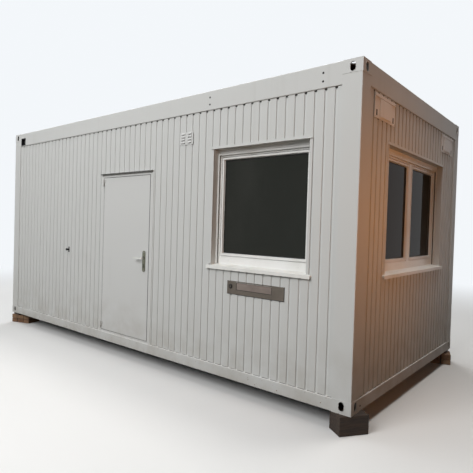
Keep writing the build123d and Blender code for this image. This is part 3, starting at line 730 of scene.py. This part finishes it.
def screwTree():
    bench, start, size = newTree("screwHeads", {"Head": "Float", "Seed": "Int"})
    radius = size["Head"]
    thick = radius * knob["thick"]
    washer = bench.node("GeometryNodeMeshCylinder", sockets={
        "Vertices": knob["sides"], "Radius": radius, "Depth": thick,
    })
    dome = bench.node("GeometryNodeMeshCone", sockets={
        "Vertices": knob["flats"], "Radius Top": radius * knob["narrow"],
        "Radius Bottom": radius * knob["wide"], "Depth": thick,
    })
    lift = bench.node("ShaderNodeCombineXYZ", sockets={2: radius * knob["lift"]})
    lifted = bench.node("GeometryNodeTransform", sockets={"Geometry": dome, "Translation": lift})
    head = bench.node("GeometryNodeJoinGeometry", sockets={0: lifted})
    bench.tree.links.new(washer.socket, head.socket.node.inputs[0])
    facing = {"Vector": bench.stored("FLOAT_VECTOR", "facing")}
    turned = bench.node("FunctionNodeAlignRotationToVector", {"axis": "Z"}, facing)
    spin = bench.draw(0.0, knob["turn"], size["Seed"])
    around = bench.node("FunctionNodeAxisAngleToRotation", sockets={"Axis": (0, 0, 1), "Angle": spin})
    both = {"Rotation": turned, "Rotate By": around}
    stance = bench.node("FunctionNodeRotateRotation", {"rotation_space": "LOCAL"}, both)
    row = {"Points": start, "Instance": head, "Rotation": stance}
    return endTree(bench, bench.node("GeometryNodeInstanceOnPoints", sockets=row), size["Material"])


screw = screwTree()


def driveScrews(name, places, radius, finish="zincSteel", body="cabin"):
    # places are pairs of a point and its outward direction
    mesh = pointMesh(name + "Points", [point for point, _ in places], facing=[facing for _, facing in places])
    return grow(name, screw, mesh, {"Head": radius, "Seed": knob["seed"]}, finish, body)


def onWall(depth, spots, side="front"):
    facing = (*walls[side]["out"], 0)
    return [(wallPoint(side, along, depth, level), facing) for along, level in spots]


def cornerSpots(part):
    left, right, low, high = edgesOf(part)
    inset = part["screwIn"]
    levels = (low + inset, high - inset)
    return [(along, level) for along in (left + inset, right - inset) for level in levels]


roof = {
    "down": 0.052, "ribHigh": 0.022, "ribPitch": 0.250, "ribs": 22, "rows": 5, "reach": 1.24, "screw": 0.008,
}
ribTop = cabin["height"] - roof["down"] + roof["ribHigh"] + cabin["raised"]
roofPlaces = []
for rib in range(roof["ribs"]):
    for row in range(roof["rows"]):
        x = (rib - (roof["ribs"] - 1) / 2) * roof["ribPitch"]
        y = (row / (roof["rows"] - 1) * 2 - 1) * roof["reach"]
        roofPlaces.append(((x, y, ribTop), (0, 0, 1)))
driveScrews("roofScrews", roofPlaces, roof["screw"])

coverEdges = []
for left in cover["lefts"]:
    coverEdges += [left + cover["rivetIn"], left + cover["width"] - cover["rivetIn"]]
upper = [(along, cover["high"] - cover["rivetDown"]) for along in coverEdges]
lower = [(along, cover["low"] + cover["rivetUp"]) for along in coverEdges]
rivets = onWall(cover["band"], upper, "right") + onWall(cover["face"], lower, "right")
driveScrews("coverRivets", rivets, cover["rivet"], "framePaint")
driveScrews("grilleScrews", onWall(grille["face"], cornerSpots(grille)), grille["screw"])
plateSpots = onWall(plate["face"], cornerSpots(plate))
driveScrews("letterPlateScrews", plateSpots, plate["screw"], "stainless")
stopSpots = [(stop["x"], stop["z"] + rise) for rise in (-stop["screwRise"], stop["screwRise"])]
driveScrews("stopScrews", onWall(stop["face"], stopSpots), stop["screw"], "rubber")
collars = []
for radius, *depths in stop["collars"]:
    collars.append(panelOn(circle(stop["x"], stop["z"], radius, stop["sides"]), *depths))
prisms("stopCollars", collars)

for name, way, body in (("hingeScrewsFixed", -1, "cabin"), ("hingeScrewsLeaf", 1, "door")):
    along = door["axis"] + way * door["hingeScrewIn"]
    spots = [(along, level + way * rise) for level in door["hinges"] for rise in door["hingeScrewRises"]]
    places = onWall(door["leafFace"], spots)
    driveScrews(name, places, door["hingeScrew"], body=body)
spots = [(door["handleX"], door["handleZ"] + rise) for rise in door["plateScrewRises"]]
places = onWall(door["plateFace"], spots)
driveScrews("handlePlateScrews", places, door["plateScrew"], body="door")

inlet = {"x": 0.273, "z": 2.791, "depth": 0.028, "ring": 0.018, "pins": 5, "pin": 0.0036}
spots = []
for index in range(inlet["pins"]):
    turn = 2 * math.pi * index / inlet["pins"]
    spots.append((inlet["x"] + inlet["ring"] * math.sin(turn), inlet["z"] + inlet["ring"] * math.cos(turn)))
driveScrews("inletPins", onWall(inlet["depth"], spots), inlet["pin"], "handleMetal")
drain = {"spot": (0.173, 0.047), "radius": 0.008}
driveScrews("drainPlug", onWall(0.0, [drain["spot"]], "right"), drain["radius"], "rubber")
print("screws driven")

# Gauze behind the vents: near black in the cover slots as painted shade, pale behind the louvres as painted
# light that lifts their shade; dark rims round the cover slots add painted shade
vents = {
    "columns": (3.989, 4.088), "half": 0.0262, "first": 2.420, "pitch": 0.031, "rows": 4,
    "under": 0.0087, "over": 0.0145, "slots": (0.036, 0.412), "slotWidth": 0.018, "slotLow": 2.520,
    "slotHeight": 0.045, "front": 0.0082, "back": 0.0096, "shy": 0.0003, "rim": 0.003, "rimProud": 0.0006,
}
louvreSheets, coverSheets, coverShadeRims = [], [], []
for along in vents["columns"]:
    for row in range(vents["rows"]):
        level = vents["first"] + row * vents["pitch"]
        ends = (along - vents["half"], along + vents["half"])
        outline = box(*ends, level - vents["under"], level + vents["over"])
        louvreSheets.append(panelOn(outline, vents["front"], vents["back"]))
gauzeFace, rimFace = cover["face"] + vents["shy"], cover["face"] - vents["rimProud"]
for left in cover["lefts"]:
    for inset in vents["slots"]:
        low = vents["slotLow"]
        slot = (left + inset, left + inset + vents["slotWidth"], low, low + vents["slotHeight"])
        coverSheets.append(panelOn(box(*slot, -vents["shy"]), gauzeFace, vents["back"], side="right"))
        coverShadeRims.append(panelOn(box(*slot, vents["rim"]), rimFace, gauzeFace, side="right"))
# the pale gauze behind the louvres lightens their shade: painted light
prisms("louvreGauze", louvreSheets, "paleGauze")
prisms("coverGauze", coverSheets, "darkGauze")
prisms("coverSlotRims", coverShadeRims)

# Dark discs in the top rail's holes and dark strips in the letter flap's gap, both painted shade
railPlugs = {
    "fromRight": (0.359, 1.674), "levels": (2.785, 2.857), "radius": 0.0102,
    "sides": 16, "depths": (-0.0006, 0.001),
}
discs = [
    circle(cabin["length"] - inset, level, railPlugs["radius"], railPlugs["sides"])
    for inset in railPlugs["fromRight"] for level in railPlugs["levels"]
]
prisms("railPlugs", [panelOn(disc, *railPlugs["depths"]) for disc in discs])

# dark strips along the flap's lower and side edges paint the shade in its gap
flapShade = {
    "left": 4.802, "right": 5.230, "low": 0.900, "high": 0.967, "width": 0.013, "depths": (0.0090, 0.0098),
}
left, right, low, high = edgesOf(flapShade)
wide = flapShade["width"]
strips = [
    box(left, right, low, low + wide),
    box(left, left + wide, low + wide, high),
    box(right - wide, right, low + wide, high),
]
prisms("letterFlapGasket", [panelOn(outline, *flapShade["depths"]) for outline in strips])

locks = {  # the rings are pairs of a radius and a depth
    "letter": (4.731, 0.931), "letterFace": -0.001, "doorFace": -0.008, "half": 0.0085, "slit": 0.0013,
    "bit": 0.0032, "bitUp": 0.004, "bitNarrow": 0.99, "proud": 0.0003, "sunk": 0.002, "sides": 12,
    "cylinder": (0.0215, 0.0125, 20), "spindle": 0.0150, "doorWire": 0.0024, "doorDepth": -0.0020,
    "letterRings": ((0.0203, 0.0038), (0.0132, -0.0010)), "letterWire": 0.0030,
}
doorLock = (door["handleX"], door["cylinderZ"])


# a black keyhole shape: painted shade of the key's slot
def keyhole(name, x, z, face, body):
    outlines = [
        stadium(x, z, locks["half"], locks["slit"], locks["sides"]),
        circle(x, z + locks["bitUp"], locks["bit"], locks["sides"], locks["bitNarrow"]),
    ]
    depths = (face - locks["proud"], face + locks["sunk"])
    prisms(name, [panelOn(outline, *depths) for outline in outlines], body=body)


keyhole("letterKeyhole", *locks["letter"], locks["letterFace"], "cabin")
keyhole("doorKeyhole", *doorLock, locks["doorFace"], "door")
# dark rings round the lock cylinder and the lever's spindle paint the shade at their feet
spindle = circle(door["handleX"], door["spindleZ"], locks["spindle"])
rings = [ringOn(outline, locks["doorDepth"]) for outline in (stadium(*doorLock, *locks["cylinder"]), spindle)]
layBead("escutcheons", rings, locks["doorWire"], body="door")
rings = [ringOn(circle(*locks["letter"], radius), depth) for radius, depth in locks["letterRings"]]
layBead("lockRings", rings, locks["letterWire"])

# a dark bead along the plate's right and lower edges paints its shadow on the wall
plateShadow = {"radius": 0.0030, "out": 0.0016, "depth": 0.0074, "corner": 0.002}
right, low = plate["right"] + plateShadow["out"], plate["low"] - plateShadow["out"]
corners = [(right, plate["high"]), (right, low), (plate["left"], low)]
line = ringOn(corners, plateShadow["depth"])
layBead("letterPlateSeal", [line], plateShadow["radius"], plateShadow["corner"], False)
print("vents and locks detailed")

# Brick stacks: the lower course lies across, the upper one along
stack = {  # under: the corners of the cabin that rest on bricks
    "long": 0.240, "wide": 0.115, "high": 0.062, "joint": 0.008, "abreast": 3, "turn": math.radians(18),
    "corner": (0.005, -0.008), "under": ((-1, -1), (-1, 1), (1, 1)), "shy": 0.005, "low": 0.007,
    "arris": 0.03, "cuts": 3, "grit": 38.0, "wobble": 0.003, "twist": 0.012, "seed": 11,
    "recess": 0.009, "bite": 0.003, "bedFoot": 0.004,
}
long, wide, high, joint = (stack[k] for k in ("long", "wide", "high", "joint"))
whole = stack["abreast"] * (wide + joint) - joint  # the stack's length
rank = (long - joint) / 2  # the width of one rank of the upper course
rest = whole - joint - long  # the short brick that fills a rank


def stackBricks():  # middle along and back from the stack's corner, level, and size
    bricks = []
    for index in range(stack["abreast"]):
        bricks.append((index * (wide + joint) + wide / 2, long / 2, high / 2, (wide, long, high)))
    for row, lengths in enumerate(((long, rest), (rest, long))):
        left = 0.0
        for length in lengths:
            back = row * (rank + joint) + rank / 2
            bricks.append((left + length / 2, back, high * 1.5 + joint / 2, (length, rank, high + joint)))
            left += length + joint
    return bricks


def stackBeds():  # the bed and head joints, near black as painted shade in the gaps: from and to along, from and to back, from and to up
    recess = stack["recess"]
    reach = (joint + stack["shy"]) / 2 + stack["bite"]
    level = high + joint / 2
    top = level + high - recess
    beds = [(recess, whole - recess, recess, long - recess, level - reach / 2, level + reach / 2)]
    for index in range(1, stack["abreast"]):
        middle = index * (wide + joint) - joint / 2
        beds.append((middle - reach, middle + reach, recess, long - recess, stack["bedFoot"], level))
    middle = rank + joint / 2
    beds.append((recess, whole - recess, middle - reach, middle + reach, level, top))
    for length, ends in ((long, (recess, rank)), (rest, (rank + joint, long - recess))):
        middle = length + joint / 2
        beds.append((middle - reach, middle + reach, *ends, level, top))
    return beds


def stackSpot(along, back):
    cosine, sine = math.cos(stack["turn"]), math.sin(stack["turn"])
    x = halfLength - stack["corner"][0] - along * cosine + back * sine
    y = halfWidth - stack["corner"][1] - along * sine - back * cosine
    return x, y


def brickBlank():
    # a brick of unit size with rounded arrises; the tree gives it its real size
    shape = easedBlock((1, 1, 1), stack["arris"], 0.6)
    longEdges = [edge for edge in shape.edges if edge.calc_length() > 0.5]
    bmesh.ops.subdivide_edges(shape, edges=longEdges, cuts=stack["cuts"], use_grid_fill=True)
    return linked("brickBlank", meshFrom(shape, "brickBlank"))


def stackTree():
    bench, start, size = newTree("layBricks", {
        "Brick": "Object", "Grit": "Float", "Wobble": "Float", "Twist": "Float", "Seed": "Int",
    })
    blank = bench.node("GeometryNodeObjectInfo", sockets={"Object": size["Brick"]}, out="Geometry")
    twist = bench.draw(size["Twist"] * -1.0, size["Twist"], size["Seed"])
    turn = bench.node("ShaderNodeCombineXYZ", sockets={2: bench.stored("FLOAT", "turned") + twist})
    span = bench.stored("FLOAT_VECTOR", "span")
    row = {"Points": start, "Instance": blank, "Rotation": turn, "Scale": span}
    laid = bench.node("GeometryNodeInstanceOnPoints", sockets=row)
    note = {"Geometry": laid, "Name": "tone", "Value": bench.draw(0.0, 1.0, size["Seed"] + 7)}
    toned = bench.node("GeometryNodeStoreNamedAttribute", {"data_type": "FLOAT", "domain": "INSTANCE"}, note)
    real = bench.node("GeometryNodeRealizeInstances", sockets={0: toned})
    rough = bench.node("ShaderNodeTexNoise", sockets={"Scale": size["Grit"], "Detail": 3.0}, out="Color")
    centred = bench.node("ShaderNodeVectorMath", {"operation": "SUBTRACT"}, {0: rough, 1: (0.5, 0.5, 0.5)})
    moved = bench.node("ShaderNodeVectorMath", {"operation": "SCALE"}, {0: centred, "Scale": size["Wobble"]})
    worn = bench.node("GeometryNodeSetPosition", sockets={"Geometry": real, "Offset": moved})
    return endTree(bench, worn, size["Material"])


places, spans, turned, bedding = [], [], [], []
for signX, signY in stack["under"]:
    for alongFrom, alongTo, backFrom, backTo, *levels in stackBeds():
        corners = ((alongFrom, backFrom), (alongTo, backFrom), (alongTo, backTo), (alongFrom, backTo))
        spots = [stackSpot(along, back) for along, back in corners]
        bedding.append([[Vector((signX * x, signY * y, level)) for x, y in spots] for level in levels])
    for along, back, level, (length, width, height) in stackBricks():
        x, y = stackSpot(along, back)
        places.append((signX * x, signY * y, level))
        spans.append((length - stack["shy"], width - stack["shy"], height - stack["low"]))
        turned.append(signX * signY * stack["turn"])
blank = brickBlank()
bricks = grow("stackedBricks", stackTree(), pointMesh("brickPlaces", places, span=spans, turned=turned), {
    "Brick": blank, "Grit": stack["grit"], "Wobble": stack["wobble"], "Twist": stack["twist"],
    "Seed": stack["seed"],
}, "firedBrick")
bpy.data.objects.remove(blank)
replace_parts(bricks, "brick_stacks")
# near-black sheets in the joints paint the shade between the bricks
prisms("brickBeds", bedding, "beddingDirt")
print("bricks laid", len(places))

# Timber packers, and the turned block under the near corner
timbers = {
    "inset": 0.020, "low": 0.132, "high": 0.165, "edge": 0.004,
    "block": (0.270, 0.180, 0.165), "blockTurn": 55.0, "blockInset": (0.062, 0.102), "grainShift": (0.7, 3.0),
}


def beam(shape, size, centre, turn, shift):
    # adds a beam with eased edges; its grain follows its own length, shifted so that no two look alike
    part = easedBlock(size, timbers["edge"], 0.5)
    grain = part.verts.layers.float_vector.new("grain")
    for vert in part.verts:
        vert[grain] = vert.co + Vector((shift, shift * 2, 0))
    place = Matrix.Translation(centre) @ Matrix.Rotation(turn, 4, "Z")
    bmesh.ops.transform(part, matrix=place, verts=part.verts)
    scrap = meshFrom(part, "scrap")
    shape.from_mesh(scrap)
    bpy.data.meshes.remove(scrap)


def timberMesh():
    shape = bmesh.new()
    shape.verts.layers.float_vector.new("grain")
    inset = timbers["inset"]
    length, width = cabin["postLength"] - inset, cabin["postWidth"] - inset
    packer = (length, width, timbers["high"] - timbers["low"])
    middle = (timbers["low"] + timbers["high"]) / 2
    packerShift, blockShift = timbers["grainShift"]
    for index, (signX, signY) in enumerate(stack["under"]):
        x, y = signX * (halfLength - inset - length / 2), signY * (halfWidth - inset - width / 2)
        beam(shape, packer, (x, y, middle), 0.0, index * packerShift)
    block, (insetX, insetY) = timbers["block"], timbers["blockInset"]
    centre = (halfLength - insetX, insetY - halfWidth, block[2] / 2)
    beam(shape, block, centre, math.radians(timbers["blockTurn"]), blockShift)
    return meshFrom(shape, "timberBlocks")


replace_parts(asPiece("timberBlocks", timberMesh(), "weatheredTimber"), "timber_packers")
print("timber set")

# Floor: pale to the camera, darker to the light that it throws back on the cabin
stage = {
    "floor": (0.76, 0.76, 0.75), "mottle": (0.60, 0.60, 0.59), "shade": (0.145, 0.137, 0.122),
    "endShade": (0.050, 0.036, 0.022), "endFrom": (2.9, 3.5), "sky": (0.90, 0.93, 0.96),
    "fade": (5.0, 12.0), "reach": 60.0,
}


def shownTo(bench):  # 1 for the rays that show the background, 0 for those that light the cabin
    ray = bench.node("ShaderNodeLightPath", out="Is Camera Ray")
    return ray.most(ray.pick("Is Glossy Ray")).most(ray.pick("Is Transmission Ray"))


def floorFinish():
    ground = Finish("paleFloor")
    seen = shownTo(ground)
    mottled = ground.tint(ground.noise(0.6, 4.0) * 0.12, stage["floor"], stage["mottle"])
    shade = ground.tint(ground.rise(ground.x, *stage["endFrom"]), stage["shade"], stage["endShade"])
    matt = ground.node("ShaderNodeBsdfDiffuse", sockets={"Color": ground.tint(seen, shade, mottled)})
    haze = ground.node("ShaderNodeEmission", sockets={"Color": (*stage["sky"], 1), "Strength": 1.0})
    away = ground.node("ShaderNodeVectorMath", {"operation": "LENGTH"}, {0: ground.place}, out="Value")
    faded = ground.rise(away, *stage["fade"]) * seen
    mixed = ground.node("ShaderNodeMixShader", sockets={0: faded, 1: matt, 2: haze})
    ground.node("ShaderNodeOutputMaterial", sockets={"Surface": mixed})
    return ground.material


floorMesh = bpy.data.meshes.new("paleFloor")
edge = stage["reach"]
floorMesh.from_pydata([(x, y, 0) for x, y in box(-edge, edge, -edge, edge)], [], [(0, 1, 2, 3)])
floorMesh.materials.append(floorFinish())
linked("paleFloor", floorMesh)

# World: an even glow in front, and dusk behind the end wall
world = bpy.data.worlds.new("studio")
bpy.context.scene.world = world
world.use_nodes = True
air = Bench(world.node_tree)
air.tree.nodes.clear()
around = {
    "glow": (0.95, 0.98, 1.0), "glowStrength": 0.24, "dusk": (0.9, 0.5, 0.3), "duskStrength": 0.04,
    "duskX": (-0.1, 0.2), "duskY": (-0.75, -0.35),
}


def backdrop(colour, strength):
    return air.node("ShaderNodeBackground", sockets={"Color": (*colour, 1), "Strength": strength})


outward = air.node("ShaderNodeTexCoord", out="Generated")
heading = air.node("ShaderNodeSeparateXYZ", sockets={0: outward}, out="X")
behindEnd = air.rise(heading, *around["duskX"]) * air.rise(heading.pick("Y"), *around["duskY"])
glow = backdrop(around["glow"], around["glowStrength"])
dusk = backdrop(around["dusk"], around["duskStrength"])
light = air.node("ShaderNodeMixShader", sockets={0: behindEnd, 1: glow, 2: dusk})
shown = air.node("ShaderNodeMixShader", sockets={0: shownTo(air), 1: light, 2: backdrop(stage["sky"], 1.0)})
air.node("ShaderNodeOutputWorld", sockets={"Surface": shown})

lamps = {  # place, aim, size, Blender's watts, colour, and the beam's spread in degrees
    "frontKey": ((0.6, -12.0, 9.0), (0.0, 0.0, 1.8), (7.0, 7.0), 1300.0, (1.0, 1.0, 1.0), 180),
    "overhead": ((-2.0, -1.5, 9.5), (-2.0, -1.4, 0.0), (8.0, 8.0), 430.0, (0.97, 0.98, 1.0), 180),
    "backFill": ((-7.5, 10.0, 7.0), (0.0, 0.0, 1.4), (8.0, 8.0), 950.0, (0.98, 0.99, 1.0), 180),
    "endTop": ((3.9, 0.4, 10.0), (3.9, 0.4, 0.0), (1.6, 1.6), 290.0, (1.0, 0.97, 0.93), 180),
    "warmEnd": ((5.4, -1.60, 1.85), (3.0, -0.80, 1.85), (1.4, 0.6), 6.0, (1.0, 0.335, 0.025), 90),
}
for name, (place, aim, size, watts, colour, spread) in lamps.items():
    data = bpy.data.lights.new(name, "AREA")
    data.shape = "RECTANGLE"
    data.size, data.size_y = size
    data.spread = math.radians(spread)
    data.energy = watts
    data.color = colour
    made = linked(name, data)
    made.location = place
    made.rotation_euler = (Vector(aim) - Vector(place)).to_track_quat("-Z", "Y").to_euler()

view = {  # the photograph's camera, found by fitting the cabin's edges; turned in degrees, lens in mm
    "at": (4.58999, -4.92454, 1.68907), "turned": (88.7789, -1.7329, 39.5205),
    "lens": 34.3035, "clip": (0.05, 200.0),
}
optics = bpy.data.cameras.new("photoCamera")
optics.lens = view["lens"]
optics.clip_start, optics.clip_end = view["clip"]
camera = linked("photoCamera", optics)
camera.location = view["at"]
camera.rotation_euler = [math.radians(angle) for angle in view["turned"]]
bpy.context.scene.camera = camera
bpy.context.scene.view_settings.view_transform = "Standard"
print("stage, lamps and camera set")
